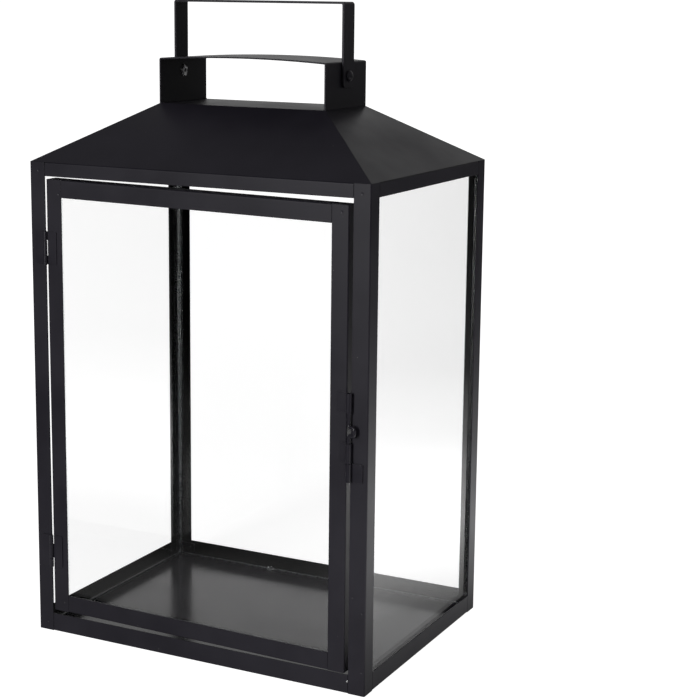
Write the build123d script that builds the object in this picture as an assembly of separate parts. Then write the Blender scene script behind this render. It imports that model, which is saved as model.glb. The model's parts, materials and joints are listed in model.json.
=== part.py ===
from build123d import *
from math import atan2, cos, radians, sin, tan
import os

# Hurricane candle lantern in powder-coated sheet steel and glass, in millimetres.
# +X is to the lantern's right, -Y is the front with the door, +Z is up. The origin is the
# centre of the footprint, on the surface that the lantern stands on.

# Overall sizes
width = 300.0               # outside of the left posts to outside of the right posts
depth = 215.0               # front face to rear face
body_height = 388.0         # floor to the eave
roof_rise = 45.0            # eave to the flat top
roof_top_width = 150.0
roof_top_depth = 70.0

# Folded angles of the body
frame_sheet = 1.0
fold_inner_radius = 0.2
post_flange = 14.0
top_rail_height = 11.0
bottom_rail_height = 15.0
ledge_setback = 2.0         # a rail's level flange is this much narrower than a post's flange
seam = 0.2                  # gap left where a rail butts against a post
tab_end_gap = 1.0           # end of a spot-welded tongue to the sheet it points at
tab_lap = 4.0               # part of the tongue behind its own web
tab_inset = 1.5             # tongue set back from the edges of its web
base_sheet = 1.0
base_clearance = 0.2

# Roof shell
roof_sheet = 1.0
roof_lip = 10.0             # level lip turned in at the eave, welded to the rail ledges
hip_radius = 1.6

# Glass and its clear silicone
glass_thickness = 2.0
tongue_clearance = 0.2      # a pane to the welded tongues that it stands clear of
pane_edge_gap = 0.5
pane_side_gap = 0.5
bond_width = 8.0
bond_end_gap = 1.0
corner_bead = 2.5
dab_radius = 3.0
dab_length = 9.0

# Door
door_flange = 14.0          # face width of the stiles and rails
door_return = 13.0          # depth of the flanges turned inwards
door_gap_hinge = 1.3
door_gap_latch = 3.5
door_gap_top = 3.5
door_gap_bottom = 2.3

# Butt hinges
hinge_height = 26.4
hinge_end_knuckle = 7.2
hinge_sheet = 0.75
hinge_pin_radius = 0.85
hinge_fit = 0.05            # radial running clearance in the door's knuckles
hinge_post_leaf = 10.0      # barrel axis to the leaf's free edge
hinge_door_leaf = 10.0
knuckle_gap = 0.3
leaf_clearance = 0.4
leaf_corner = 1.0
hinge_head_radius = 1.3
hinge_head_height = 0.5
hinge_head_gap = 0.1
upper_hinge_setback = 53.3  # middle of the upper hinge below the top of the door
lower_hinge_setback = 52.1  # middle of the lower hinge above the bottom of the door

# Latch: a bent wire pin in two leaves on the door, dropping into a keeper on the post
latch_sheet = 0.9
latch_pin_radius = 1.4
latch_fit = 0.06
latch_knuckle = 15.0        # height of each of the door's two leaves
latch_window = 23.0         # open stretch between them, where the finger loop moves
latch_above_middle = 12.0   # middle of the window above the middle of the door
latch_off_middle = 1.2      # axis to the right of the middle of the gap beside the door
upper_latch_width = 10.7    # barrel axis to the leaf's free edge
lower_latch_width = 8.2
keeper_height = 14.0
keeper_leaf_width = 11.0
latch_engagement = 4.0      # how deep the pin drops into the keeper
latch_free_gap = 0.5        # pin tip above the keeper when the latch is open
finger_reach = 7.0
finger_height = 6.4         # between the two runs of the finger loop
finger_turn = 18.0          # degrees that the loop points forwards of straight right
finger_bend = 1.9
finger_lift = 0.3           # loop above the lower knuckle when the pin is down
pin_top_cover = 8.0         # pin inside the upper knuckle below its rim when down

# Handle bracket and handle
bracket_sheet = 1.2
bracket_height = 36.0
bracket_bow = 2.4           # rise of the strap's middle
bracket_bend = 0.4          # inside bend radius
handle_sheet = 1.8
handle_strap = 18.2
handle_rise = 46.0          # top of the bracket's bends to the top of the handle
handle_bend = 0.7
handle_side_gap = 0.35      # each arm to its bracket leg
handle_tail = 9.0           # arm below the pivot
handle_tail_corner = 4.0
pivot_drop = 11.0           # pivot below the top of the bracket's bends

# Rivets of the handle
rivet_radius = 2.5
rivet_fit = 0.06
rivet_head_radius = 4.5
rivet_head_height = 3.2
rivet_head_gap = 0.15
clinch_radius = 5.0
clinch_height = 1.5
clinch_bore_radius = 1.5
clinch_bore_depth = 4.0

# Derived sizes and places
fold_radius = frame_sheet + fold_inner_radius
rail_ledge = post_flange - ledge_setback
bond_gap = frame_sheet + tongue_clearance           # silicone between a flange and its pane
tab_length = post_flange - 2 * frame_sheet - tab_end_gap    # behind a post's flange
door_tab_length = door_flange - 2 * frame_sheet - tab_end_gap
half_width = width / 2
half_depth = depth / 2
front = -half_depth
opening_x = half_width - post_flange                # free edge of a post's front flange
opening_y = half_depth - post_flange
roof_top = body_height + roof_rise
bracket_top = roof_top + bracket_height
pivot_z = bracket_top - pivot_drop
handle_top = bracket_top + handle_rise
base_bottom = frame_sheet
base_top = base_bottom + base_sheet
side_glass_x = half_width - frame_sheet - bond_gap  # outer face of a side pane
rear_glass_y = half_depth - frame_sheet - bond_gap
glass_bottom = base_top + pane_edge_gap
glass_top = body_height - frame_sheet - pane_edge_gap
door_left = -opening_x + door_gap_hinge
door_right = opening_x - door_gap_latch
door_bottom = bottom_rail_height + door_gap_bottom
door_top = body_height - top_rail_height - door_gap_top
door_glass_y = front + frame_sheet + bond_gap
upper_hinge_z = door_top - upper_hinge_setback
lower_hinge_z = door_bottom + lower_hinge_setback
hinge_barrel_radius = hinge_pin_radius + hinge_fit + hinge_sheet
hinge_x = (door_left - opening_x) / 2
hinge_y = front - hinge_barrel_radius
latch_barrel_radius = latch_pin_radius + latch_fit + latch_sheet
latch_x = (door_right + opening_x) / 2 + latch_off_middle
latch_y = front - latch_barrel_radius
latch_window_bottom = (door_bottom + door_top - latch_window) / 2 + latch_above_middle
latch_window_top = latch_window_bottom + latch_window
latch_bottom = latch_window_bottom - latch_knuckle
latch_top = latch_window_top + latch_knuckle
keeper_top = latch_bottom - knuckle_gap
pin_travel_down = latch_engagement + latch_free_gap


def block(x_span, y_span, z_span):
    """Upright box between two limits on each axis."""
    lows = [min(span) for span in (x_span, y_span, z_span)]
    sizes = [max(span) - min(span) for span in (x_span, y_span, z_span)]
    return Pos(*lows) * Box(*sizes, align=(Align.MIN, Align.MIN, Align.MIN))


def fold_round(bar, outer_corner, inner_corner, along):
    """Round the outside and the inside of the fold in a bar that runs along one axis."""
    for corner, radius in ((outer_corner, fold_radius), (inner_corner, fold_inner_radius)):
        edge = bar.edges().filter_by(along).sort_by_distance(corner)[0]
        bar = fillet(edge, radius)
    return bar


def corner_post():
    """Front left post: a folded angle over the full height of the body."""
    z_span = (0, body_height)
    face = block((-half_width, -opening_x), (front, front + frame_sheet), z_span)
    side = block((-half_width, -half_width + frame_sheet), (front, -opening_y), z_span)
    middle = body_height / 2
    return fold_round(
        face + side,
        (-half_width, front, middle),
        (-half_width + frame_sheet, front + frame_sheet, middle),
        Axis.Z,
    )


def front_rail(z_low, z_high, ledge_at_top):
    """Front rail: web between the posts, level ledge, and a welded tongue behind each post."""
    end = opening_x - seam
    web = block((-end, end), (front, front + frame_sheet), (z_low, z_high))
    ledge_z = z_high - frame_sheet if ledge_at_top else z_low
    ledge = block((-end, end), (front, front + rail_ledge), (ledge_z, ledge_z + frame_sheet))
    fold_z, inner_z = (z_high, ledge_z) if ledge_at_top else (z_low, ledge_z + frame_sheet)
    rail = fold_round(
        web + ledge, (0, front, fold_z), (0, front + frame_sheet, inner_z), Axis.X
    )
    tab_y = (front + frame_sheet, front + 2 * frame_sheet)
    tab_z = (z_low + frame_sheet + tab_inset, z_high - frame_sheet - tab_inset)
    for side in (-1, 1):
        tab_x = (side * (opening_x - tab_lap), side * (opening_x + tab_length))
        rail += block(tab_x, tab_y, tab_z)
    return rail


def left_rail(z_low, z_high, ledge_at_top):
    """Left rail: the same section as the front rail, between the left posts."""
    end = opening_y - seam
    outer = -half_width
    web = block((outer, outer + frame_sheet), (-end, end), (z_low, z_high))
    ledge_z = z_high - frame_sheet if ledge_at_top else z_low
    ledge = block((outer, outer + rail_ledge), (-end, end), (ledge_z, ledge_z + frame_sheet))
    fold_z, inner_z = (z_high, ledge_z) if ledge_at_top else (z_low, ledge_z + frame_sheet)
    rail = fold_round(
        web + ledge, (outer, 0, fold_z), (outer + frame_sheet, 0, inner_z), Axis.Y
    )
    tab_x = (outer + frame_sheet, outer + 2 * frame_sheet)
    tab_z = (z_low + frame_sheet + tab_inset, z_high - frame_sheet - tab_inset)
    for side in (-1, 1):
        tab_y = (side * (opening_y - tab_lap), side * (opening_y + tab_length))
        rail += block(tab_x, tab_y, tab_z)
    return rail


def base_plate():
    """Flat floor plate, welded on the ledges of the bottom rails and clear of the tongues."""
    half_x = half_width - 2 * frame_sheet - base_clearance
    half_y = half_depth - 2 * frame_sheet - base_clearance
    return block((-half_x, half_x), (-half_y, half_y), (base_bottom, base_top))


def frustum(low_size, high_size, z_low, z_high):
    """Solid between two level rectangles."""
    low = Pos(0, 0, z_low) * Rectangle(*low_size)
    high = Pos(0, 0, z_high) * Rectangle(*high_size)
    return loft([low, high], ruled=True)


def roof_shell():
    """Hip roof of one sheet: four slopes, a flat top and a level lip turned in at the eave."""
    outer = frustum((width, depth), (roof_top_width, roof_top_depth), body_height, roof_top)
    middle = (body_height + roof_top) / 2
    hips = outer.edges().filter_by(lambda edge: abs(edge.center().Z - middle) < roof_rise / 4)
    outer = fillet(hips, hip_radius)
    # Each inner plane lies one sheet inside its outer plane, measured square to the slope.
    slope_x = atan2(roof_rise, (width - roof_top_width) / 2)
    slope_y = atan2(roof_rise, (depth - roof_top_depth) / 2)
    low_z = body_height + roof_sheet
    high_z = roof_top - roof_sheet

    def inner_size(z):
        above = roof_top - z
        half_x = roof_top_width / 2 + above / tan(slope_x) - roof_sheet / sin(slope_x)
        half_y = roof_top_depth / 2 + above / tan(slope_y) - roof_sheet / sin(slope_y)
        return 2 * half_x, 2 * half_y

    cavity = frustum(inner_size(low_z), inner_size(high_z), low_z, high_z)
    mouth_x = half_width - roof_lip
    mouth_y = half_depth - roof_lip
    mouth = block((-mouth_x, mouth_x), (-mouth_y, mouth_y), (body_height, low_z))
    return outer - cavity - mouth


def side_pane():
    """Left pane, standing on the base plate inside the flanges of the left posts."""
    y_limit = half_depth - 2 * frame_sheet - pane_side_gap
    return block(
        (-side_glass_x, -side_glass_x + glass_thickness),
        (-y_limit, y_limit),
        (glass_bottom, glass_top),
    )


def rear_pane():
    """Rear pane, between the two side panes."""
    x_limit = side_glass_x - glass_thickness - pane_side_gap
    return block(
        (-x_limit, x_limit),
        (rear_glass_y - glass_thickness, rear_glass_y),
        (glass_bottom, glass_top),
    )


def bond_heights():
    """Heights of the silicone on the rails (low and high) and on the posts (middle)."""
    low = (glass_bottom, bottom_rail_height - bond_end_gap)
    high = (body_height - top_rail_height + bond_end_gap, glass_top)
    middle = (bottom_rail_height + bond_end_gap, body_height - top_rail_height - bond_end_gap)
    return low, middle, high


def side_silicone():
    """Clear silicone between the left pane and the posts and rails that carry it."""
    low, middle, high = bond_heights()
    x_span = (-side_glass_x, -half_width + frame_sheet)
    rail_end = opening_y - tab_lap - bond_end_gap
    strips = [block(x_span, (-rail_end, rail_end), z_span) for z_span in (low, high)]
    for side in (-1, 1):
        y_span = (side * opening_y, side * (opening_y + bond_width))
        strips.append(block(x_span, y_span, middle))
    return strips


def rear_silicone():
    """Silicone behind the rear pane, beads in its two corners, and dabs on the base plate."""
    low, middle, high = bond_heights()
    y_span = (rear_glass_y, half_depth - frame_sheet)
    rail_end = opening_x - tab_lap - bond_end_gap
    pieces = [block((-rail_end, rail_end), y_span, z_span) for z_span in (low, high)]
    inner_x = side_glass_x - glass_thickness
    inner_y = rear_glass_y - glass_thickness
    for side in (-1, 1):
        x_span = (side * opening_x, side * (opening_x + bond_width))
        pieces.append(block(x_span, y_span, middle))
        corner = (side * inner_x, inner_y)
        bead = Polygon(
            corner,
            (side * (inner_x - corner_bead), inner_y),
            (side * inner_x, inner_y - corner_bead),
            align=None,
        )
        bead = extrude(bead, glass_top - glass_bottom, dir=(0, 0, 1))
        pieces.append(Pos(0, 0, glass_bottom) * bead)
    for centre_x in (-inner_x / 3, inner_x / 3):
        dab = Pos(centre_x, inner_y, base_top) * Rot(0, 90, 0) * Cylinder(dab_radius, dab_length)
        room = block(
            (centre_x - dab_length, centre_x + dab_length),
            (inner_y - 2 * dab_radius, inner_y),
            (base_top, base_top + 2 * dab_radius),
        )
        pieces.append(dab & room)
    return pieces


def door_stile(side):
    """Door stile: a folded angle over the full height of the door; side is -1 or 1."""
    outer = door_left if side < 0 else door_right
    z_span = (door_bottom, door_top)
    face = block((outer, outer - side * door_flange), (front, front + frame_sheet), z_span)
    turned = block((outer, outer - side * frame_sheet), (front, front + door_return), z_span)
    middle = (door_bottom + door_top) / 2
    return fold_round(
        face + turned,
        (outer, front, middle),
        (outer - side * frame_sheet, front + frame_sheet, middle),
        Axis.Z,
    )


def door_rail(at_top):
    """Door rail: web between the stiles, flange turned in across the door, two tongues."""
    z_edge = door_top if at_top else door_bottom
    inward = -1 if at_top else 1
    x_low = door_left + door_flange + seam
    x_high = door_right - door_flange - seam
    middle = (x_low + x_high) / 2
    web = block((x_low, x_high), (front, front + frame_sheet), (z_edge, z_edge + inward * door_flange))
    turned = block(
        (x_low, x_high), (front, front + door_return), (z_edge, z_edge + inward * frame_sheet)
    )
    rail = fold_round(
        web + turned,
        (middle, front, z_edge),
        (middle, front + frame_sheet, z_edge + inward * frame_sheet),
        Axis.X,
    )
    # The turned flange runs on behind the stiles, up to their own turned flanges.
    side_gap = frame_sheet + fold_inner_radius
    rail += block(
        (door_left + side_gap, door_right - side_gap),
        (front + frame_sheet, front + door_return),
        (z_edge, z_edge + inward * frame_sheet),
    )
    tab_z = (z_edge + inward * (frame_sheet + tab_inset), z_edge + inward * (door_flange - tab_inset))
    tab_y = (front + frame_sheet, front + 2 * frame_sheet)
    for x_edge, side in ((x_low, -1), (x_high, 1)):
        tab_x = (x_edge - side * tab_lap, x_edge + side * door_tab_length)
        rail += block(tab_x, tab_y, tab_z)
    return rail


def door_pane():
    """Pane of the door, inside its turned flanges."""
    edge = frame_sheet + pane_side_gap
    return block(
        (door_left + edge, door_right - edge),
        (door_glass_y, door_glass_y + glass_thickness),
        (door_bottom + edge, door_top - edge),
    )


def door_silicone():
    """Clear silicone between the door's pane and the faces of its stiles and rails."""
    y_span = (front + frame_sheet, door_glass_y)
    inner_left = door_left + door_flange
    inner_right = door_right - door_flange
    tab_end = tab_lap + bond_end_gap + seam
    strips = []
    for z_edge, inward in ((door_bottom, 1), (door_top, -1)):
        z_inner = z_edge + inward * door_flange
        z_span = (z_inner, z_inner - inward * bond_width)
        strips.append(block((inner_left + tab_end, inner_right - tab_end), y_span, z_span))
    z_span = (door_bottom + door_flange + bond_end_gap, door_top - door_flange - bond_end_gap)
    for x_edge, side in ((inner_left, -1), (inner_right, 1)):
        strips.append(block((x_edge, x_edge + side * bond_width), y_span, z_span))
    return strips


def barrel(x, y, z_span, outer_radius):
    """Solid round bar on an upright axis."""
    tall = max(z_span) - min(z_span)
    return Pos(x, y, min(z_span)) * extrude(Circle(outer_radius), tall)


def knuckle_leaf(axis, sheet, barrel_radius, bore_radius, reach, side, z_span, knuckles):
    """Leaf on the front face with knuckles rolled round an upright axis.

    side is -1 for a leaf to the left of the axis and 1 for a leaf to its right.
    """
    x, y = axis
    plate_edge = x + side * (barrel_radius + leaf_clearance)
    leaf = block((plate_edge, x + side * reach), (front - sheet, front), z_span)
    free_edges = leaf.edges().filter_by(Axis.Y).sort_by(Axis.X)
    leaf = fillet(free_edges[-2:] if side > 0 else free_edges[:2], leaf_corner)
    for span in knuckles:
        leaf += barrel(x, y, span, barrel_radius)
        leaf += block((x, plate_edge), (front - sheet, front), span)
    for span in knuckles:
        leaf -= barrel(x, y, span, bore_radius)
    return leaf


def hinge_knuckles(middle_z):
    """The three knuckle spans of a hinge, from the bottom up."""
    low = middle_z - hinge_height / 2
    high = middle_z + hinge_height / 2
    return [
        (low, low + hinge_end_knuckle - knuckle_gap / 2),
        (low + hinge_end_knuckle + knuckle_gap / 2, high - hinge_end_knuckle - knuckle_gap / 2),
        (high - hinge_end_knuckle + knuckle_gap / 2, high),
    ]


def hinge_leaf(middle_z, on_door, takes_ends):
    """Leaf of a hinge with either the two end knuckles or the middle one."""
    spans = hinge_knuckles(middle_z)
    own = [spans[0], spans[2]] if takes_ends else [spans[1]]
    bore = hinge_pin_radius + (hinge_fit if on_door else 0)
    return knuckle_leaf(
        axis=(hinge_x, hinge_y),
        sheet=hinge_sheet,
        barrel_radius=hinge_barrel_radius,
        bore_radius=bore,
        reach=hinge_door_leaf if on_door else hinge_post_leaf,
        side=1 if on_door else -1,
        z_span=(middle_z - hinge_height / 2, middle_z + hinge_height / 2),
        knuckles=own,
    )


def hinge_pin(middle_z):
    """Pin of a hinge, peened over at both ends."""
    end = hinge_height / 2 + hinge_head_gap
    pin = barrel(hinge_x, hinge_y, (middle_z - end, middle_z + end), hinge_pin_radius)
    for side in (-1, 1):
        span = (middle_z + side * end, middle_z + side * (end + hinge_head_height))
        pin += barrel(hinge_x, hinge_y, span, hinge_head_radius)
    return pin


def latch_leaf(z_low, reach):
    """Latch leaf with one knuckle, on the door's right stile."""
    z_span = (z_low, z_low + latch_knuckle)
    return knuckle_leaf(
        axis=(latch_x, latch_y),
        sheet=latch_sheet,
        barrel_radius=latch_barrel_radius,
        bore_radius=latch_pin_radius + latch_fit,
        reach=reach,
        side=-1,
        z_span=z_span,
        knuckles=[z_span],
    )


def latch_keeper():
    """Keeper knuckle on the post, just below the latch."""
    z_span = (keeper_top - keeper_height, keeper_top)
    return knuckle_leaf(
        axis=(latch_x, latch_y),
        sheet=latch_sheet,
        barrel_radius=latch_barrel_radius,
        bore_radius=latch_pin_radius + latch_fit,
        reach=keeper_leaf_width,
        side=1,
        z_span=z_span,
        knuckles=[z_span],
    )


def latch_pin():
    """Wire pin with a hairpin finger loop, drawn with its tip just above the keeper."""
    tip = keeper_top + latch_free_gap
    loop_low = latch_window_bottom + finger_lift + pin_travel_down + latch_pin_radius
    loop_high = loop_low + finger_height
    top = latch_top - pin_top_cover + pin_travel_down
    reach = finger_reach - latch_pin_radius
    outer_x = latch_x + reach * cos(radians(finger_turn))
    outer_y = latch_y - reach * sin(radians(finger_turn))
    corners = [
        (latch_x, latch_y, tip),
        (latch_x, latch_y, loop_low),
        (outer_x, outer_y, loop_low),
        (outer_x, outer_y, loop_high),
        (latch_x, latch_y, loop_high),
        (latch_x, latch_y, top),
    ]
    path = FilletPolyline(*corners, radius=finger_bend)
    section = Plane(origin=corners[0], z_dir=(0, 0, 1)) * Circle(latch_pin_radius)
    return sweep(section, path=path)


def handle_bracket():
    """Inverted channel on the flat top: two legs and a strap that bows up a little."""
    half = roof_top_width / 2
    inner = half - bracket_sheet
    outline = Polyline((-half, bracket_top), (-half, roof_top), (-inner, roof_top),
                       (-inner, bracket_top - bracket_sheet))
    outline += ThreePointArc(
        (-inner, bracket_top - bracket_sheet),
        (0, bracket_top - bracket_sheet + bracket_bow),
        (inner, bracket_top - bracket_sheet),
    )
    outline += Polyline((inner, bracket_top - bracket_sheet), (inner, roof_top), (half, roof_top),
                        (half, bracket_top))
    outline += ThreePointArc((half, bracket_top), (0, bracket_top + bracket_bow), (-half, bracket_top))
    section = make_face(outline)
    bends = section.vertices().sort_by(Axis.Y)
    high = [vertex for vertex in bends if vertex.Y > bracket_top - 2 * bracket_sheet]
    outer_bends = [vertex for vertex in high if abs(vertex.X) > half - bracket_sheet / 2]
    section = fillet(outer_bends, bracket_bend + bracket_sheet)
    inner_bends = [
        vertex for vertex in section.vertices()
        if vertex.Y > bracket_top - 2 * bracket_sheet and abs(abs(vertex.X) - inner) < 0.01
        and abs(vertex.Y - (bracket_top - bracket_sheet)) < 0.01
    ]
    section = fillet(inner_bends, bracket_bend)
    bracket = extrude(Plane.XZ * section, roof_top_depth / 2, both=True)
    for side in (-1, 1):
        bracket -= Pos(side * half, 0, pivot_z) * Rot(0, 90, 0) * Cylinder(rivet_radius, post_flange)
    return bracket


def handle():
    """Bail of flat strap: an inverted U whose arms lie outside the bracket's legs."""
    inner = roof_top_width / 2 + handle_side_gap
    outer = inner + handle_sheet
    low = pivot_z - handle_tail
    section = Pos(0, (low + handle_top) / 2) * Rectangle(2 * outer, handle_top - low)
    section -= Pos(0, (low + handle_top) / 2 - handle_sheet) * Rectangle(2 * inner, handle_top - low)
    corners = section.vertices().sort_by(Axis.Y)
    section = fillet(corners[-2:], handle_bend + handle_sheet)
    inner_bends = section.vertices().filter_by(
        lambda vertex: abs(abs(vertex.X) - inner) < 0.01 and vertex.Y > bracket_top
    )
    section = fillet(inner_bends, handle_bend)
    strap = extrude(Plane.XZ * section, handle_strap / 2, both=True)
    tails = strap.edges().filter_by(Axis.X).filter_by(lambda edge: abs(edge.center().Z - low) < 0.01)
    strap = fillet(tails, handle_tail_corner)
    hole = rivet_radius + rivet_fit
    for side in (-1, 1):
        strap -= Pos(side * outer, 0, pivot_z) * Rot(0, 90, 0) * Cylinder(hole, 4 * handle_sheet)
    return strap


def handle_rivet(side):
    """Tubular rivet: domed head outside the handle's arm, clinched end inside the bracket's leg."""
    leg_inner = roof_top_width / 2 - bracket_sheet
    head_x = roof_top_width / 2 + handle_side_gap + handle_sheet + rivet_head_gap
    clinch_x = leg_inner - clinch_height
    bore_x = clinch_x + clinch_bore_depth
    outline = Polyline(
        (bore_x, 0), (bore_x, clinch_bore_radius), (clinch_x, clinch_bore_radius),
        (clinch_x, clinch_radius - clinch_height / 2),
    )
    outline += ThreePointArc(
        (clinch_x, clinch_radius - clinch_height / 2),
        (clinch_x + clinch_height / 4, clinch_radius - clinch_height / 8),
        (leg_inner - clinch_height / 4, clinch_radius),
    )
    outline += Polyline(
        (leg_inner - clinch_height / 4, clinch_radius), (leg_inner, clinch_radius),
        (leg_inner, rivet_radius), (head_x, rivet_radius), (head_x, rivet_head_radius),
    )
    dome = (rivet_head_radius ** 2 + rivet_head_height ** 2) / (2 * rivet_head_height)
    shoulder = rivet_head_radius / 2
    shoulder_x = head_x + rivet_head_height - dome + (dome ** 2 - shoulder ** 2) ** 0.5
    outline += ThreePointArc(
        (head_x, rivet_head_radius), (shoulder_x, shoulder), (head_x + rivet_head_height, 0)
    )
    outline += Line((head_x + rivet_head_height, 0), (bore_x, 0))
    rivet = revolve(make_face(outline), Axis.X)
    rivet = Pos(0, 0, pivot_z) * rivet
    return rivet if side > 0 else mirror(rivet, Plane.YZ)


def build_parts():
    """Every piece of the lantern under its node name, as a list of solids."""
    parts = {}
    post = corner_post()
    parts["post_front_left"] = post
    parts["post_front_right"] = mirror(post, Plane.YZ)
    parts["post_rear_left"] = mirror(post, Plane.XZ)
    parts["post_rear_right"] = mirror(mirror(post, Plane.XZ), Plane.YZ)
    rails = (
        ("top", body_height - top_rail_height, body_height, True),
        ("bottom", 0, bottom_rail_height, False),
    )
    for level, z_low, z_high, ledge_at_top in rails:
        across = front_rail(z_low, z_high, ledge_at_top)
        along = left_rail(z_low, z_high, ledge_at_top)
        parts[f"{level}_rail_front"] = across
        parts[f"{level}_rail_rear"] = mirror(across, Plane.XZ)
        parts[f"{level}_rail_left"] = along
        parts[f"{level}_rail_right"] = mirror(along, Plane.YZ)
    parts["base_plate"] = base_plate()
    parts["roof_shell"] = roof_shell()

    pane = side_pane()
    parts["glass_left"] = pane
    parts["glass_right"] = mirror(pane, Plane.YZ)
    parts["glass_rear"] = rear_pane()
    strips = side_silicone()
    parts["silicone_left"] = strips
    parts["silicone_right"] = [mirror(strip, Plane.YZ) for strip in strips]
    parts["silicone_rear"] = rear_silicone()

    parts["door_stile_left"] = door_stile(-1)
    parts["door_stile_right"] = door_stile(1)
    parts["door_rail_top"] = door_rail(at_top=True)
    parts["door_rail_bottom"] = door_rail(at_top=False)
    parts["door_glass"] = door_pane()
    parts["door_silicone"] = door_silicone()

    # The lower hinge is the same part upside down, with its middle knuckle on the door.
    hinges = (("upper", upper_hinge_z, True), ("lower", lower_hinge_z, False))
    for name, middle_z, door_takes_ends in hinges:
        parts[f"{name}_hinge_door_leaf"] = hinge_leaf(middle_z, True, door_takes_ends)
        parts[f"{name}_hinge_post_leaf"] = hinge_leaf(middle_z, False, not door_takes_ends)
        parts[f"{name}_hinge_pin"] = hinge_pin(middle_z)

    parts["upper_latch_leaf"] = latch_leaf(latch_window_top, upper_latch_width)
    parts["lower_latch_leaf"] = latch_leaf(latch_bottom, lower_latch_width)
    parts["latch_keeper"] = latch_keeper()
    parts["latch_pin"] = latch_pin()
    parts["handle_bracket"] = handle_bracket()
    parts["handle"] = handle()
    parts["handle_rivet_left"] = handle_rivet(-1)
    parts["handle_rivet_right"] = handle_rivet(1)
    return parts


os.makedirs("parts", exist_ok=True)
for name, shape in build_parts().items():
    node = Compound(children=shape) if isinstance(shape, list) else shape
    export_step(node, f"parts/{name}.step")
print(f"pin travel down {pin_travel_down:.2f} mm, handle pivot at z {pivot_z:.2f} mm")
print(f"door axis x {hinge_x:.3f} y {hinge_y:.3f}; latch axis x {latch_x:.3f} y {latch_y:.3f}")
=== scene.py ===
import json
from math import atan2, cos, pi, radians, sin, sqrt

import bmesh
import bpy
from mathutils import Matrix, Vector, noise


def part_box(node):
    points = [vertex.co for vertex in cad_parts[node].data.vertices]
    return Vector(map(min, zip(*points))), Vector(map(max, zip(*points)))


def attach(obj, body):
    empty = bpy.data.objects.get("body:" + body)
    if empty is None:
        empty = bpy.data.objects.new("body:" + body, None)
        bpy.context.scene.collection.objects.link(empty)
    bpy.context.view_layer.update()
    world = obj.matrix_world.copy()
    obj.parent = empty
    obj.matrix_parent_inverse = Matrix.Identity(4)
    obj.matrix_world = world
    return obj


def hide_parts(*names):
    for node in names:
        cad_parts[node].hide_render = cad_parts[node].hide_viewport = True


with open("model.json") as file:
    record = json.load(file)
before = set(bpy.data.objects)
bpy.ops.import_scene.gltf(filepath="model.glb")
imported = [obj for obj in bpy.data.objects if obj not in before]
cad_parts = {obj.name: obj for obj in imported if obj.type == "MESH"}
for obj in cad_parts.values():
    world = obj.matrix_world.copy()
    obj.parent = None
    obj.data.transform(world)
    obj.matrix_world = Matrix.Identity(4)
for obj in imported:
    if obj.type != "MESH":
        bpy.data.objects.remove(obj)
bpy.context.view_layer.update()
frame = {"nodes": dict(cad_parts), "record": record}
record = frame["record"]
bodyOf = {node: body for body, nodes in record["behaviour"]["bodies"].items() for node in nodes}
scene = bpy.context.scene
mm = 0.001
print("frame loaded:", len(bodyOf), "nodes")


# Small helpers for node trees and pieces

def newMaterial(name):
    material = bpy.data.materials.new(name)
    material.use_nodes = True
    tree = material.node_tree
    tree.nodes.clear()
    output = tree.nodes.new("ShaderNodeOutputMaterial")
    return material, tree, output


def addNode(tree, kind, **settings):
    node = tree.nodes.new(kind)
    for key, value in settings.items():
        setattr(node, key, value)
    return node


def multiplied(tree, first, second):
    node = addNode(tree, "ShaderNodeMath", operation="MULTIPLY")
    tree.links.new(first, node.inputs[0])
    tree.links.new(second, node.inputs[1])
    return node.outputs["Value"]


def mixedShaders(tree, share, first, second):
    join = addNode(tree, "ShaderNodeMixShader")
    tree.links.new(share, join.inputs[0])
    tree.links.new(first, join.inputs[1])
    tree.links.new(second, join.inputs[2])
    return join.outputs["Shader"]


def meshFrom(work, name):
    mesh = bpy.data.meshes.new(name)
    work.to_mesh(mesh)
    work.free()
    return mesh


def noiseOn(tree, scale, detail=2.0, roughness=0.5):
    # noise on Object coordinates; scale is in cells per metre
    place = addNode(tree, "ShaderNodeTexCoord")
    pattern = addNode(tree, "ShaderNodeTexNoise")
    pattern.inputs["Scale"].default_value = scale
    pattern.inputs["Detail"].default_value = detail
    pattern.inputs["Roughness"].default_value = roughness
    tree.links.new(place.outputs["Object"], pattern.inputs["Vector"])
    return pattern


def spread(tree, value, fromLow, fromHigh, toLow, toHigh):
    # map a grey value from one range to another
    change = addNode(tree, "ShaderNodeMapRange", clamp=True)
    change.inputs["From Min"].default_value = fromLow
    change.inputs["From Max"].default_value = fromHigh
    change.inputs["To Min"].default_value = toLow
    change.inputs["To Max"].default_value = toHigh
    tree.links.new(value, change.inputs["Value"])
    return change.outputs["Result"]


def twoTones(tree, value, dark, light):
    mix = addNode(tree, "ShaderNodeMix", data_type="RGBA")
    ends = [socket for socket in mix.inputs if socket.type == "RGBA"]
    for socket, end in zip(ends, (dark, light)):
        if isinstance(end, tuple):
            socket.default_value = (*end, 1)
        else:
            tree.links.new(end, socket)
    tree.links.new(value, mix.inputs["Factor"])
    return next(socket for socket in mix.outputs if socket.type == "RGBA")


def specks(tree, cells, reach, share):
    # sparse round specks: 1 inside a speck and 0 elsewhere; reach is in cell widths
    place = addNode(tree, "ShaderNodeTexCoord")
    dots = addNode(tree, "ShaderNodeTexVoronoi")
    dots.inputs["Scale"].default_value = cells
    tree.links.new(place.outputs["Object"], dots.inputs["Vector"])
    near = spread(tree, dots.outputs["Distance"], reach * 0.5, reach, 1, 0)
    lot = addNode(tree, "ShaderNodeSeparateColor")
    tree.links.new(dots.outputs["Color"], lot.inputs["Color"])
    chosen = spread(tree, lot.outputs["Red"], share, share * 1.3, 1, 0)
    return multiplied(tree, near, chosen)


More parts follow.
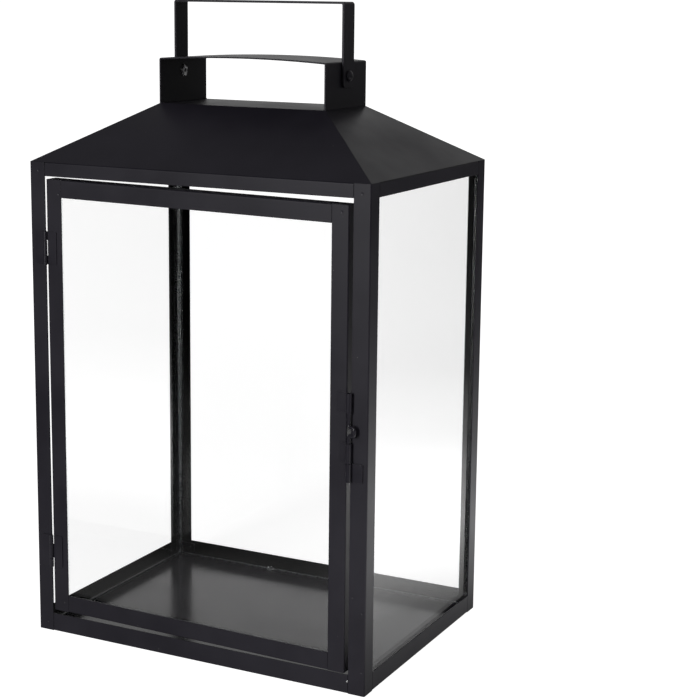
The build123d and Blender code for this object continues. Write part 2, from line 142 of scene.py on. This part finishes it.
def bump(tree, height, depth, strength, before=None):
    node = addNode(tree, "ShaderNodeBump")
    node.inputs["Distance"].default_value = depth
    node.inputs["Strength"].default_value = strength
    tree.links.new(height, node.inputs["Height"])
    if before is not None:
        tree.links.new(before, node.inputs["Normal"])
    return node.outputs["Normal"]


# Finishes

def coatedPaint(name, look):
    material, tree, output = newMaterial(name)
    shader = addNode(tree, "ShaderNodeBsdfPrincipled")
    shader.inputs["Specular IOR Level"].default_value = look["gloss"]
    cloud = noiseOn(tree, look["cloudScale"], 3.0, 0.55)
    peel = noiseOn(tree, look["peelScale"], 1.0, 0.4)
    wave = noiseOn(tree, look["waveScale"], 1.0, 0.5)
    clouded = spread(tree, cloud.outputs["Fac"], 0.35, 0.65, 0, 1)
    colour = twoTones(tree, clouded, look["dark"], look["light"])
    colour = twoTones(tree, specks(tree, *look["specks"]), colour, look["dust"])
    tree.links.new(colour, shader.inputs["Base Color"])
    low, high = look["roughness"]
    rough = spread(tree, cloud.outputs["Fac"], 0.3, 0.7, low, high)
    tree.links.new(rough, shader.inputs["Roughness"])
    sheet = bump(tree, wave.outputs["Fac"], look["waveDepth"], 0.5)
    skin = bump(tree, peel.outputs["Fac"], look["peelDepth"], 0.35, sheet)
    tree.links.new(skin, shader.inputs["Normal"])
    tree.links.new(shader.outputs["BSDF"], output.inputs["Surface"])
    return material


framePaintLook = {
    "dark": (0.0165, 0.0148, 0.0215),
    "light": (0.0215, 0.0195, 0.0275),
    "dust": (0.16, 0.16, 0.16),
    "specks": (150, 0.05, 0.10),    # cells per metre, radius in cell widths, share of the cells
    "roughness": (0.38, 0.46),
    "gloss": 0.32,
    "cloudScale": 22,
    "peelScale": 850,       # orange peel of about 1.2 mm
    "peelDepth": 0.012 * mm,
    "waveScale": 34,        # slow waviness of thin sheet
    "waveDepth": 0.05 * mm,
}
basePaintLook = dict(
    framePaintLook, roughness=(0.18, 0.24), gloss=1.0, peelDepth=0.0015 * mm, waveDepth=0.03 * mm,
)
hardwarePaintLook = dict(framePaintLook, roughness=(0.28, 0.38), gloss=0.42, waveDepth=0.02 * mm)
# darker, matt copy of the coat for the inner faces of the folded angles: painted shade inside the lantern
insideShadePaintLook = dict(
    framePaintLook, dark=(0.0040, 0.0037, 0.0050), light=(0.0055, 0.0051, 0.0066), gloss=0.12,
)
framePaint = coatedPaint("powderCoatBlack", framePaintLook)
insideShadePaint = coatedPaint("powderCoatPaintedShade", insideShadePaintLook)
basePaint = coatedPaint("powderCoatBase", basePaintLook)
hardwarePaint = coatedPaint("powderCoatHardware", hardwarePaintLook)


def clearPane(look):
    # Thin clear sheet: what it doesn't mirror goes straight through
    material, tree, output = newMaterial(look["name"])
    side = addNode(tree, "ShaderNodeNewGeometry")
    index = spread(tree, side.outputs["Backfacing"], 0, 1, look["ior"], 1 / look["ior"])
    share = addNode(tree, "ShaderNodeFresnel")
    tree.links.new(index, share.inputs["IOR"])
    ripple = noiseOn(tree, look["rippleScale"], 1.0)
    normal = bump(tree, ripple.outputs["Fac"], look["rippleDepth"], 0.5)
    passing = addNode(tree, "ShaderNodeBsdfTransparent")
    passing.inputs["Color"].default_value = (*look["tint"], 1)
    mirror = addNode(tree, "ShaderNodeBsdfGlossy")
    mirror.inputs["Roughness"].default_value = 0.0
    tree.links.new(normal, mirror.inputs["Normal"])
    pane = mixedShaders(tree, share.outputs["Fac"], passing.outputs["BSDF"], mirror.outputs["BSDF"])
    tree.links.new(pane, output.inputs["Surface"])
    return material


def cutGlass(look):
    # Ground edge of a pane: greenish and a little frosted
    material, tree, output = newMaterial("groundGlassEdge")
    shader = addNode(tree, "ShaderNodeBsdfPrincipled")
    shader.inputs["Transmission Weight"].default_value = look["edgeClearness"]
    shader.inputs["IOR"].default_value = look["ior"]
    grain = noiseOn(tree, look["edgeGrain"])
    colour = twoTones(tree, grain.outputs["Fac"], look["edgeDark"], look["edgeLight"])
    tree.links.new(colour, shader.inputs["Base Color"])
    rough = spread(tree, grain.outputs["Fac"], 0.3, 0.7, *look["edgeRoughness"])
    tree.links.new(rough, shader.inputs["Roughness"])
    tree.links.new(shader.outputs["BSDF"], output.inputs["Surface"])
    return material


glassLook = {
    "name": "clearFloatGlass",
    "ior": 1.5,
    "tint": (1.0, 1.0, 1.0),
    "rippleScale": 9,
    "rippleDepth": 0.03 * mm,
    "edgeDark": (0.42, 0.52, 0.53),
    "edgeLight": (0.66, 0.76, 0.78),
    "edgeClearness": 0.92,
    "edgeGrain": 1400,
    "edgeRoughness": (0.18, 0.42),
    "arris": 0.15 * mm,     # width of the ground edge
}
glassClear = clearPane(glassLook)
glassEdge = cutGlass(glassLook)


def clearSilicone(look):
    material, tree, output = newMaterial("clearSilicone")
    shader = addNode(tree, "ShaderNodeBsdfPrincipled")
    shader.inputs["Transmission Weight"].default_value = look["clearness"]
    shader.inputs["IOR"].default_value = look["ior"]
    lumps = noiseOn(tree, look["lumpScale"])
    colour = twoTones(tree, lumps.outputs["Fac"], look["milky"], look["clear"])
    tree.links.new(colour, shader.inputs["Base Color"])
    rough = spread(tree, lumps.outputs["Fac"], 0.3, 0.7, *look["roughness"])
    tree.links.new(rough, shader.inputs["Roughness"])
    tree.links.new(bump(tree, lumps.outputs["Fac"], look["lumpDepth"], 0.9), shader.inputs["Normal"])
    tree.links.new(shader.outputs["BSDF"], output.inputs["Surface"])
    return material


siliconeLook = {
    "clearness": 1.0,
    "ior": 1.41,
    "milky": (0.90, 0.93, 0.94),
    "clear": (0.98, 0.99, 0.99),
    "roughness": (0.06, 0.22),
    "lumpScale": 620,
    "lumpDepth": 0.8 * mm,
}
siliconeClear = clearSilicone(siliconeLook)
# silicone pressed flat against the glass hardly shows
filmLook = dict(glassLook, name="siliconeFilm", ior=1.14, tint=(0.93, 0.94, 0.94), rippleScale=160)
siliconeFilm = clearPane(filmLook)


def bareSteel(look):
    material, tree, output = newMaterial("platedSteel")
    shader = addNode(tree, "ShaderNodeBsdfPrincipled")
    shader.inputs["Metallic"].default_value = 1.0
    grain = noiseOn(tree, look["grain"], 3.0)
    colour = twoTones(tree, grain.outputs["Fac"], look["dark"], look["light"])
    tree.links.new(colour, shader.inputs["Base Color"])
    rough = spread(tree, grain.outputs["Fac"], 0.3, 0.7, *look["roughness"])
    tree.links.new(rough, shader.inputs["Roughness"])
    tree.links.new(bump(tree, grain.outputs["Fac"], look["tears"], 0.8), shader.inputs["Normal"])
    tree.links.new(shader.outputs["BSDF"], output.inputs["Surface"])
    return material


steelLook = {
    "dark": (0.62, 0.62, 0.63),
    "light": (0.90, 0.90, 0.91),
    "roughness": (0.18, 0.36),
    "grain": 900,
    "tears": 0.5 * mm,      # depth of the torn skin at the clinched end
}
rivetSteel = bareSteel(steelLook)
print("finishes made:", len(bpy.data.materials))


# Pieces

def finishPiece(name, mesh, materials, node, smoothUnder=40):
    piece = bpy.data.objects.new(name, mesh)
    scene.collection.objects.link(piece)
    for material in materials:
        mesh.materials.append(material)
    mesh.shade_smooth()
    mesh.set_sharp_from_angle(angle=radians(smoothUnder))
    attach(piece, bodyOf[node] if node else "frame")
    if node:
        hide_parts(node)
    return piece


def cadCopy(node):
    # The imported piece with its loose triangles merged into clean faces
    work = bmesh.new()
    work.from_mesh(frame["nodes"][node].data)
    bmesh.ops.remove_doubles(work, verts=work.verts, dist=0.002 * mm)
    bmesh.ops.dissolve_limit(work, angle_limit=radians(0.5), verts=work.verts, edges=work.edges)
    return work


def carveMarks(work, marks):
    # Shallow round dents, each a point, a direction, a radius and a depth
    target = bpy.data.objects.new("carved", meshFrom(work, "carved"))
    cutters = bmesh.new()
    for place, outward, radius, depth in marks:
        ball = (radius ** 2 + depth ** 2) / (2 * depth)
        centre = Vector(place) + Vector(outward) * (ball - depth)
        bmesh.ops.create_icosphere(cutters, subdivisions=5, radius=ball, matrix=Matrix.Translation(centre))
    cutter = bpy.data.objects.new("cutters", meshFrom(cutters, "cutters"))
    for helper in (target, cutter):
        scene.collection.objects.link(helper)
    cut = target.modifiers.new("dents", "BOOLEAN")
    cut.operation = "DIFFERENCE"
    cut.object = cutter
    cut.solver = "EXACT"
    done = target.evaluated_get(bpy.context.evaluated_depsgraph_get()).to_mesh()
    fresh = bmesh.new()
    fresh.from_mesh(done)
    for helper in (target, cutter):
        data = helper.data
        bpy.data.objects.remove(helper)
        bpy.data.meshes.remove(data)
    return fresh


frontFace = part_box("post_front_left")[0].y
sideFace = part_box("post_front_right")[1].x
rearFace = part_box("post_rear_left")[1].y
doorLow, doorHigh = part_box("door_stile_left")[0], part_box("door_stile_right")[1]
doorSag = {"left": 1.3 * mm, "right": -1.7 * mm}      # the door hangs a little out of square
doorStarts = ("door_stile_", "door_rail_", "door_glass", "door_silicone")
doorSheets = [node for node in bodyOf if node.startswith(doorStarts)]


def rackDoor(work):
    for vert in work.verts:
        share = (vert.co.x - doorLow.x) / (doorHigh.x - doorLow.x)
        vert.co.z += doorSag["left"] + (doorSag["right"] - doorSag["left"]) * share


def facesInward(face):
    # true for an upright face that looks to the lantern's middle from its outer wall
    centre, normal = face.calc_center_median(), face.normal
    bounds = ((0, sideFace * 0.9), (1, -frontFace * 0.9))
    return any(
        abs(normal[k]) > 0.9 and normal[k] * centre[k] < 0 and abs(centre[k]) > far for k, far in bounds
    )


def coatedPiece(node, edge, material, marks=()):
    # Copy of a sheet piece with its cut edges rounded over by the coating
    work = cadCopy(node)
    if marks:
        work = carveMarks(work, marks)
    sharp = [e for e in work.edges if e.is_manifold and e.calc_face_angle(0) > radians(50)]
    bmesh.ops.bevel(
        work, geom=sharp, offset=edge, offset_type="OFFSET", segments=2, profile=0.5,
        affect="EDGES", material=-1, clamp_overlap=True,
    )
    materials = [material]
    # faces that look into the lantern take the darker coat, which is painted shade
    if material is framePaint:
        materials.append(insideShadePaint)
        for face in work.faces:
            face.material_index = 1 if facesInward(face) else 0
    if node in doorSheets:
        rackDoor(work)
    mesh = meshFrom(work, "painted_" + node)
    piece = finishPiece("painted_" + node, mesh, materials, node)
    flats = piece.modifiers.new("flatFaces", "WEIGHTED_NORMAL")
    flats.keep_sharp = True
    return piece


coatedEdge = 0.22 * mm
hardwareEdge = 0.12 * mm
weldLook = {"radius": 1.2 * mm, "depth": 0.22 * mm}


def weldMark(place, outward):
    return place, outward, weldLook["radius"], weldLook["depth"]


def frontWeld(x, z):
    return weldMark((x * mm, frontFace, z * mm), (0, -1, 0))


def rightWeld(y, z):
    return weldMark((sideFace, y * mm, z * mm), (1, 0, 0))


def rearWeld(x, z):
    return weldMark((x * mm, rearFace, z * mm), (0, 1, 0))


# millimetres from the middle of the footprint, and above the table
weldMarks = {
    "door_stile_left": [frontWeld(-122.7, 362.3), frontWeld(-124.2, 25.6)],
    "door_stile_right": [frontWeld(126.7, 368.2)],
    "post_front_left": [frontWeld(-141.5, 381.2), frontWeld(-140.8, 7.4)],
    "post_front_right": [
        frontWeld(142.9, 380.6), frontWeld(139.3, 77.2), frontWeld(147.2, 66), frontWeld(147.3, 19.2),
        rightWeld(-99.6, 37.7),
    ],
    "post_rear_left": [rearWeld(-142.2, 8.1), rearWeld(-142.2, 381.0)],
    "post_rear_right": [rearWeld(141.6, 7.2), rearWeld(141.6, 380.4)],
}
frameStarts = ("post_", "top_rail_", "bottom_rail_", "door_stile_", "door_rail_")
frameNodes = [node for node in bodyOf if node.startswith(frameStarts)]
frameNodes += ["roof_shell", "handle_bracket", "handle"]
for node in frameNodes:
    coatedPiece(node, coatedEdge, framePaint, weldMarks.get(node, ()))
coatedPiece("base_plate", coatedEdge, basePaint)
hardwareNodes = [node for node in bodyOf if "_hinge_" in node or "latch_" in node]
for node in hardwareNodes:
    coatedPiece(node, hardwareEdge, hardwarePaint)
print("painted pieces made:", len(frameNodes) + len(hardwareNodes) + 1)


def lump(work, centre, size, seed):
    # Small flattened blob with an uneven skin
    made = bmesh.ops.create_icosphere(work, subdivisions=3, radius=1)["verts"]
    for vert in made:
        swell = 1 + 0.22 * noise.noise(vert.co * 1.7 + Vector((seed, 0, 0)))
        vert.co = Vector(centre) + Vector([vert.co[axis] * size[axis] * swell for axis in range(3)])


def bracketWelds(look):
    # Welds at the feet of the bracket's legs, painted over
    work = bmesh.new()
    low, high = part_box("handle_bracket")
    for seed, (x, inward) in enumerate(((low.x, 1), (high.x, -1))):
        for y in (low.y + look["inset"], high.y - look["inset"]):
            centre = (x + inward * look["sheet"], y, low.z)
            lump(work, centre, look["size"], seed * 3.1 + y)
    mesh = meshFrom(work, "bracketWelds")
    finishPiece("bracketWelds", mesh, [framePaint], None, 60)


def bareWeld(look):
    # Weld on the seam beside the bottom rail, rubbed bare
    work = bmesh.new()
    lump(work, (look["x"], frontFace, look["z"]), look["size"], 4.4)
    mesh = meshFrom(work, "bareWeld")
    finishPiece("bareWeld", mesh, [rivetSteel], None, 60)


weldBeadLook = {"inset": 2.2 * mm, "sheet": 1.3 * mm, "size": (1.1 * mm, 2.4 * mm, 0.9 * mm)}
bareWeldLook = {"x": 135.2 * mm, "z": 9.7 * mm, "size": (0.8 * mm, 0.3 * mm, 0.9 * mm)}
bracketWelds(weldBeadLook)
bareWeld(bareWeldLook)


def glassPane(node):
    low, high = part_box(node)
    work = bmesh.new()
    place = Matrix.LocRotScale((low + high) / 2, None, high - low)
    bmesh.ops.create_cube(work, size=1, matrix=place)
    thin = min(range(3), key=lambda axis: high[axis] - low[axis])
    bmesh.ops.bevel(
        work, geom=list(work.edges), offset=glassLook["arris"], offset_type="OFFSET",
        segments=1, profile=0.5, affect="EDGES", material=-1,
    )
    bmesh.ops.recalc_face_normals(work, faces=work.faces)
    for face in work.faces:
        face.material_index = 0 if abs(face.normal[thin]) > 0.99 else 1
    if node in doorSheets:
        rackDoor(work)
    mesh = meshFrom(work, "pane_" + node)
    return finishPiece("pane_" + node, mesh, [glassClear, glassEdge], node, 20)


for node in ("glass_left", "glass_right", "glass_rear", "door_glass"):
    glassPane(node)
print("panes made")


def looseParts(node):
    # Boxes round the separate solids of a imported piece, sorted so that each run takes them in one order
    work = bmesh.new()
    work.from_mesh(frame["nodes"][node].data)
    bmesh.ops.remove_doubles(work, verts=work.verts, dist=0.002 * mm)
    left = set(work.verts)
    boxes = []
    while left:
        reached = [left.pop()]
        for vert in reached:
            for edge in vert.link_edges:
                other = edge.other_vert(vert)
                if other in left:
                    left.remove(other)
                    reached.append(other)
        corners = [Vector([pick(v.co[axis] for v in reached) for axis in range(3)]) for pick in (min, max)]
        boxes.append(corners)
    work.free()
    boxes.sort(key=lambda corners: [round(value / mm, 3) for corner in corners for value in corner])
    return boxes


def vertsInside(work, low, high):
    slack = 0.001 * mm
    return [v for v in work.verts if all(low[k] - slack <= v.co[k] <= high[k] + slack for k in range(3))]


def edgesAlong(work, verts, axis, length):
    # Edges of a fresh block that run its whole length, in the mesh's own order
    block = set(verts)
    return [
        edge for edge in work.edges if not block.isdisjoint(edge.verts)
        and abs(edge.verts[0].co[axis] - edge.verts[1].co[axis]) > length * 0.9
    ]


def siliconeStrip(work, low, high, middle, look, seed):
    # Thin layer behind a flange, whose wavy edge squeezes out past the flange here and there
    size, centre = high - low, (low + high) / 2
    thin, wide, along = sorted(range(3), key=lambda axis: size[axis])
    inward = 1 if middle[wide] > centre[wide] else -1
    bar = bmesh.ops.create_cube(work, size=1, matrix=Matrix.LocRotScale(centre, None, size))["verts"]
    for axis, cuts in ((thin, 1), (along, int(size[along] / look["step"]))):
        bmesh.ops.subdivide_edges(work, edges=edgesAlong(work, bar, axis, size[axis]), cuts=cuts)
        bar = vertsInside(work, low, high)
    for vert in bar:
        place = vert.co[along]
        across = (vert.co[wide] - centre[wide]) * inward
        skin = abs(vert.co[thin] - centre[thin]) / size[thin]
        if across > 0:
            wobble = noise.noise(Vector((place * look["waves"], seed, 0)))
            blob = max(0.0, noise.noise(Vector((place * look["blobs"], seed, 7.7)))) ** 2
            push = look["squeeze"] * (wobble - 0.2 + 2.0 * blob) + (0.5 - skin) * look["bulge"]
        else:
            push = look["recede"] * max(0.0, 0.5 + noise.noise(Vector((place * look["waves"], seed, 3.3))))
        vert.co[wide] += inward * push
        vert.co[thin] += (centre[thin] - vert.co[thin]) * 0.05


def siliconeBead(work, low, high, look, seed):
    # Hand-run bead or dab, pressed flat where it meets the glass and the plate
    size, centre = high - low, (low + high) / 2
    along = max(range(3), key=lambda axis: size[axis])
    first, second = (along + 1) % 3, (along + 2) % 3
    place = Matrix.Identity(3)
    for column, axis in enumerate((first, second, along)):
        place.col[column] = Vector([size[axis] if row == axis else 0 for row in range(3)])
    rod = bmesh.ops.create_cone(
        work, cap_ends=True, segments=12, radius1=0.5, radius2=0.5, depth=1,
        matrix=Matrix.Translation(centre) @ place.to_4x4(),
    )["verts"]
    cuts = max(7, int(size[along] / look["step"]))
    bmesh.ops.subdivide_edges(work, edges=edgesAlong(work, rod, along, size[along]), cuts=cuts)
    steep = 2 if size[along] < look["dab"] else 60
    for vert in vertsInside(work, low, high):
        across = (vert.co[along] - centre[along]) / size[along] * 2
        taper = sqrt(max(0.03, 1 - min(1.0, abs(across)) ** steep))
        swell = look["swell"] + look["lumps"] * noise.noise(vert.co * look["knobs"] + Vector((seed, 0, 0)))
        for axis in (first, second):
            reach = centre[axis] + (vert.co[axis] - centre[axis]) * swell * taper
            vert.co[axis] = min(high[axis], max(low[axis], reach))


def siliconePiece(node, look):
    low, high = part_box(node)
    middle = (low + high) / 2
    work = bmesh.new()
    for seed, (partLow, partHigh) in enumerate(looseParts(node)):
        before = set(work.faces)
        if min(partHigh - partLow) < look["layer"]:
            siliconeStrip(work, partLow, partHigh, middle, look, seed * 5.3)
        else:
            siliconeBead(work, partLow, partHigh, look, seed * 3.7)
            for face in set(work.faces) - before:
                face.material_index = 1
    bmesh.ops.recalc_face_normals(work, faces=work.faces)
    if node in doorSheets:
        rackDoor(work)
    mesh = meshFrom(work, "bond_" + node)
    return finishPiece("bond_" + node, mesh, [siliconeFilm, siliconeClear], node, 60)


siliconeShape = {
    "layer": 1.5 * mm,      # anything thinner is a strip behind a flange
    "dab": 20 * mm,         # anything shorter is a rounded dab, not a run bead
    "step": 1.6 * mm,
    "squeeze": 0.35 * mm,   # how far a strip's edge wanders past its flange
    "bulge": 0.3 * mm,
    "recede": 1.6 * mm,
    "waves": 60,            # cells per metre, like the next two
    "blobs": 210,
    "knobs": 190,
    "swell": 1.12,
    "lumps": 0.7,
}
for node in ("silicone_left", "silicone_right", "silicone_rear", "door_silicone"):
    siliconePiece(node, siliconeShape)
print("silicone made")


def turnedRivet(node, side, look):
    # Painted domed head outside, bare clinched end with a splayed rim inside
    low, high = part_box(node)
    centre = (low + high) / 2
    tip, end = (high.x, low.x) if side > 0 else (low.x, high.x)
    work = bmesh.new()
    profile = [(tip - side * back * mm, radius * mm) for back, radius in look["profile"]]
    ring = [work.verts.new((x, centre.y, centre.z + radius)) for x, radius in profile]
    edges = [work.edges.new(pair) for pair in zip(ring, ring[1:])]
    bmesh.ops.spin(
        work, geom=ring + edges, cent=centre, axis=(1, 0, 0), angle=2 * pi, steps=48, use_merge=True
    )
    bmesh.ops.remove_doubles(work, verts=work.verts, dist=0.001 * mm)
    for vert in work.verts:
        radial = Vector((0, vert.co.y - centre.y, vert.co.z - centre.z))
        angle = atan2(radial.z, radial.y)
        fromEnd = abs(vert.co.x - end)
        if fromEnd < look["splayedPart"] and radial.length > look["shank"] * 1.1:
            radial *= 1 + look["splay"] * sin(angle * look["petals"] + 0.6 * side)
        elif abs(vert.co.x - tip) < look["headPart"] and radial.length > look["shank"]:
            radial *= 1 + look["uneven"] * noise.noise(Vector((cos(angle) * 1.5, sin(angle) * 1.5, side)))
        vert.co.y, vert.co.z = centre.y + radial.y, centre.z + radial.z
    bmesh.ops.recalc_face_normals(work, faces=work.faces)
    for face in work.faces:
        outside = abs(face.calc_center_median().x - tip) < look["headPart"]
        face.material_index = 0 if outside else 1
    mesh = meshFrom(work, "turned_" + node)
    return finishPiece("turned_" + node, mesh, [hardwarePaint, rivetSteel], node, 50)


rivetLook = {
    # millimetres back from the tip of the head, and radius
    "profile": (
        (0, 0), (0.08, 0.9), (0.4, 2.0), (1.0, 3.1), (1.8, 4.0), (2.6, 4.4), (3.05, 4.35), (3.2, 4.0),
        (3.2, 2.5), (6.55, 2.5), (6.7, 4.5), (7.0, 4.9), (7.5, 4.2), (8.1, 3.0), (8.2, 2.2), (8.0, 1.6),
        (5.2, 1.4), (4.6, 0),
    ),
    "shank": 2.5 * mm,
    "headPart": 3.3 * mm,
    "splayedPart": 1.7 * mm,
    "splay": 0.14,
    "petals": 5,
    "uneven": 0.07,
}
turnedRivet("handle_rivet_left", -1, rivetLook)
turnedRivet("handle_rivet_right", 1, rivetLook)
print("rivets made")


# Studio

cameraShot = {
    "azimuth": 26.47,
    "elevation": 10.349,
    "roll": 0.684,
    "place": (0.6699, -1.1837, 0.5223),
    "lens": 86.70,
    "shiftY": -0.0714,
}


def studioCamera(shot):
    azimuth, elevation, roll = (radians(shot[key]) for key in ("azimuth", "elevation", "roll"))
    back = Vector((sin(azimuth) * cos(elevation), -cos(azimuth) * cos(elevation), sin(elevation)))
    level = Vector((cos(azimuth), sin(azimuth), 0))
    above = back.cross(level)
    right = level * cos(roll) + above * sin(roll)
    up = above * cos(roll) - level * sin(roll)
    data = bpy.data.cameras.new("studioCamera")
    data.sensor_width = 36
    data.lens = shot["lens"]
    data.shift_y = shot["shiftY"]
    data.clip_start = 0.05
    data.clip_end = 60
    camera = bpy.data.objects.new("studioCamera", data)
    turn = Matrix((right, up, back)).transposed().to_4x4()
    camera.matrix_world = Matrix.Translation(shot["place"]) @ turn
    scene.collection.objects.link(camera)
    scene.camera = camera


studioCamera(cameraShot)
scene.view_settings.view_transform = "Standard"

studioLook = {
    "floorHalf": 12.0,
    "white": 1.09,          # backdrop as the camera sees it
    "floorNear": 1.03,      # floor as the camera sees it, before the light that falls on it
    "floorFar": 1.09,
    "floorColour": 0.5,
    "floorFade": (0.4, 1.4),
    "floorDrop": 0.2 * mm,
    # painted light and shade on the floor, seen only in reflections: painted shade round the lantern's
    # foot, a painted bright band further out, dim in front and to the left
    # metres from the middle of the lantern, and how bright it mirrors the floor there
    "mirroredFloor": (
        (0.0, 0.2), (0.20, 0.4), (0.42, 2.2), (0.75, 0.7), (1.1, 0.14), (2.1, 0.06), (4.0, 0.03),
    ),
    "mirroredFront": 0.05,  # the same floor in front of the lantern and to its left
    "rearward": (0.44, 0.88, 0),
    "frontFade": (-0.36, 0.10),     # about metres along it, from the dim floor to the bright one
    "behind": 0.72,         # wall behind the lantern and to its left, mirrored
    "around": 0.15,
    "wallRear": (0.15, 0.6),        # parts of a sight line's unit vector where the wall fades in or out
    "wallLeft": (-0.1, 0.25),
    "wallTop": (0.36, 0.48),
}


def seenThrough(tree):
    # 1 for what the camera sees straight on or refracted, 0 for what is mirrored or lights the lantern
    path = addNode(tree, "ShaderNodeLightPath")
    either = addNode(tree, "ShaderNodeMath", operation="MAXIMUM")
    tree.links.new(path.outputs["Is Camera Ray"], either.inputs[0])
    tree.links.new(path.outputs["Is Transmission Ray"], either.inputs[1])
    return either.outputs["Value"]


def studioFloor(look):
    work = bmesh.new()
    bmesh.ops.create_grid(work, x_segments=4, y_segments=4, size=look["floorHalf"])
    bmesh.ops.translate(work, verts=work.verts, vec=(0, 0, -look["floorDrop"]))
    mesh = meshFrom(work, "studioFloor")
    floor = bpy.data.objects.new("studioFloor", mesh)
    scene.collection.objects.link(floor)
    material, tree, output = newMaterial("whiteSweep")
    place = addNode(tree, "ShaderNodeTexCoord")
    length = addNode(tree, "ShaderNodeVectorMath", operation="LENGTH")
    tree.links.new(place.outputs["Object"], length.inputs[0])
    reach = look["mirroredFloor"][-1][0]
    share = spread(tree, length.outputs["Value"], 0, reach, 0, 1)
    curve = addNode(tree, "ShaderNodeValToRGB")
    stops = curve.color_ramp.elements
    while len(stops) < len(look["mirroredFloor"]):
        stops.new(0.5)
    for stop, (metres, level) in zip(stops, look["mirroredFloor"]):
        stop.position = metres / reach
        stop.color = (level, level, level, 1)
    tree.links.new(share, curve.inputs["Fac"])
    rearward = addNode(tree, "ShaderNodeVectorMath", operation="DOT_PRODUCT")
    rearward.inputs[1].default_value = look["rearward"]
    tree.links.new(place.outputs["Object"], rearward.inputs[0])
    side = spread(tree, rearward.outputs["Value"], *look["frontFade"], look["mirroredFront"], 1)
    # the floor's glow for reflections is painted light and shade, not light from the lamps
    mirrored = addNode(tree, "ShaderNodeEmission")
    tree.links.new(multiplied(tree, curve.outputs["Color"], side), mirrored.inputs["Strength"])
    own = addNode(tree, "ShaderNodeEmission")
    ownGlow = spread(tree, length.outputs["Value"], *look["floorFade"], look["floorNear"], look["floorFar"])
    tree.links.new(ownGlow, own.inputs["Strength"])
    lit = addNode(tree, "ShaderNodeBsdfDiffuse")
    lit.inputs["Color"].default_value = (look["floorColour"],) * 3 + (1,)
    seen = addNode(tree, "ShaderNodeAddShader")
    tree.links.new(own.outputs["Emission"], seen.inputs[0])
    tree.links.new(lit.outputs["BSDF"], seen.inputs[1])
    sweep = mixedShaders(tree, seenThrough(tree), mirrored.outputs["Emission"], seen.outputs["Shader"])
    tree.links.new(sweep, output.inputs["Surface"])
    mesh.materials.append(material)


def studioWorld(look):
    world = bpy.data.worlds.new("studioRoom")
    scene.world = world
    world.use_nodes = True
    tree = world.node_tree
    tree.nodes.clear()
    output = tree.nodes.new("ShaderNodeOutputWorld")
    place = addNode(tree, "ShaderNodeTexCoord")
    parts = addNode(tree, "ShaderNodeSeparateXYZ")
    tree.links.new(place.outputs["Generated"], parts.inputs["Vector"])
    rearward = spread(tree, parts.outputs["Y"], *look["wallRear"], 0, 1)
    leftward = spread(tree, parts.outputs["X"], *look["wallLeft"], 1, 0)
    low = spread(tree, parts.outputs["Z"], *look["wallTop"], 1, 0)
    wall = multiplied(tree, multiplied(tree, rearward, leftward), low)
    strength = spread(tree, wall, 0, 1, look["around"], look["behind"])
    room = addNode(tree, "ShaderNodeBackground")
    tree.links.new(strength, room.inputs["Strength"])
    white = addNode(tree, "ShaderNodeBackground")
    white.inputs["Strength"].default_value = look["white"]
    for background in (room, white):
        background.inputs["Color"].default_value = (1, 1, 1, 1)
    both = mixedShaders(tree, seenThrough(tree), room.outputs["Background"], white.outputs["Background"])
    tree.links.new(both, output.inputs["Surface"])


softboxLook = {
    "place": (-0.40, -2.45, 0.80),
    "target": (0, 0, 0.25),
    "size": (0.55, 1.3),
    "power": 32,
}


def softbox(name, look):
    data = bpy.data.lights.new(name, "AREA")
    data.shape = "RECTANGLE"
    data.size, data.size_y = look["size"]
    data.energy = look["power"]
    light = bpy.data.objects.new(name, data)
    toTarget = Vector(look["target"]) - Vector(look["place"])
    turn = toTarget.to_track_quat("-Z", "Y").to_matrix().to_4x4()
    light.matrix_world = Matrix.Translation(look["place"]) @ turn
    scene.collection.objects.link(light)


studioFloor(studioLook)
studioWorld(studioLook)
softbox("frontSoftbox", softboxLook)
print("studio made")
